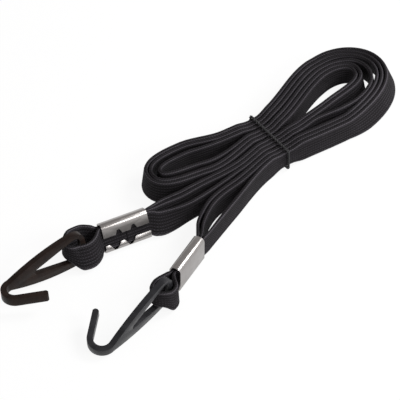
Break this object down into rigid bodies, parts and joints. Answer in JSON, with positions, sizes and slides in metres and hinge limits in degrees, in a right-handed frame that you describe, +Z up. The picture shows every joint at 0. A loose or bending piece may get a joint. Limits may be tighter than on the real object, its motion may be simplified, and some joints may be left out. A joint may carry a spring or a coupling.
{
  "type": "bungee cord",
  "caption": "Flat elastic luggage strap folded into a tied hank on its edge, with crimped steel ferrules and flat steel hooks that swing in loops of the strap at its ends.",
  "frame": {"origin": "centre of the part's box, on the surface that the strap and hooks lie on", "axes": "+X along the hank, from the hooks to the two right-hand folds; +Z up"},
  "size_m": [0.2788, 0.1386, 0.025],
  "materials": {
    "strap": "woven elastic",
    "tie": "thin elastic cord",
    "ferrule": "bright plated",
    "hook": "semi-gloss black"
  },
  "bodies": {
    "hank": {"hank_strand_a": "strap", "hank_strand_b": "strap", "hank_strand_c": "strap", "tie": "tie", "lead_1_strand_a": "strap", "lead_1_strand_b": "strap", "lead_1_strand_c": "strap", "lead_2_strand_a": "strap", "lead_2_strand_b": "strap", "lead_2_strand_c": "strap"},
    "end_1": {"ferrule_1": "ferrule", "eye_loop_1": "strap"},
    "hook_1_body": {"hook_1": "hook"},
    "end_2": {"ferrule_2": "ferrule", "eye_loop_2": "strap"},
    "hook_2_body": {"hook_2": "hook"}
  },
  "joints": [
    {"name": "stretch_1", "type": "slide", "parent": "hank", "child": "end_1", "axis": [-0.9986, 0.0523, 0], "range_m": [0, 0.06], "stiffness_N_per_m": 600, "deforming": ["lead_1_strand_a", "lead_1_strand_b", "lead_1_strand_c"]},
    {"name": "hook_1_swing", "type": "hinge", "parent": "end_1", "child": "hook_1_body", "pos_m": [-0.08257, 0.0036, 0.01203], "axis": [-0.0763, 0.0662, 0.9949], "range_deg": [-90, 20], "deforming": ["eye_loop_1"]},
    {"name": "stretch_2", "type": "slide", "parent": "hank", "child": "end_2", "axis": [-0.849, -0.5284, 0], "range_m": [0, 0.06], "stiffness_N_per_m": 600, "deforming": ["lead_2_strand_a", "lead_2_strand_b", "lead_2_strand_c"]},
    {"name": "hook_2_swing", "type": "hinge", "parent": "end_2", "child": "hook_2_body", "pos_m": [-0.05856, -0.05076, 0.01513], "axis": [-0.1591, -0.2036, 0.966], "range_deg": [-20, 90], "deforming": ["eye_loop_2"]}
  ]
}
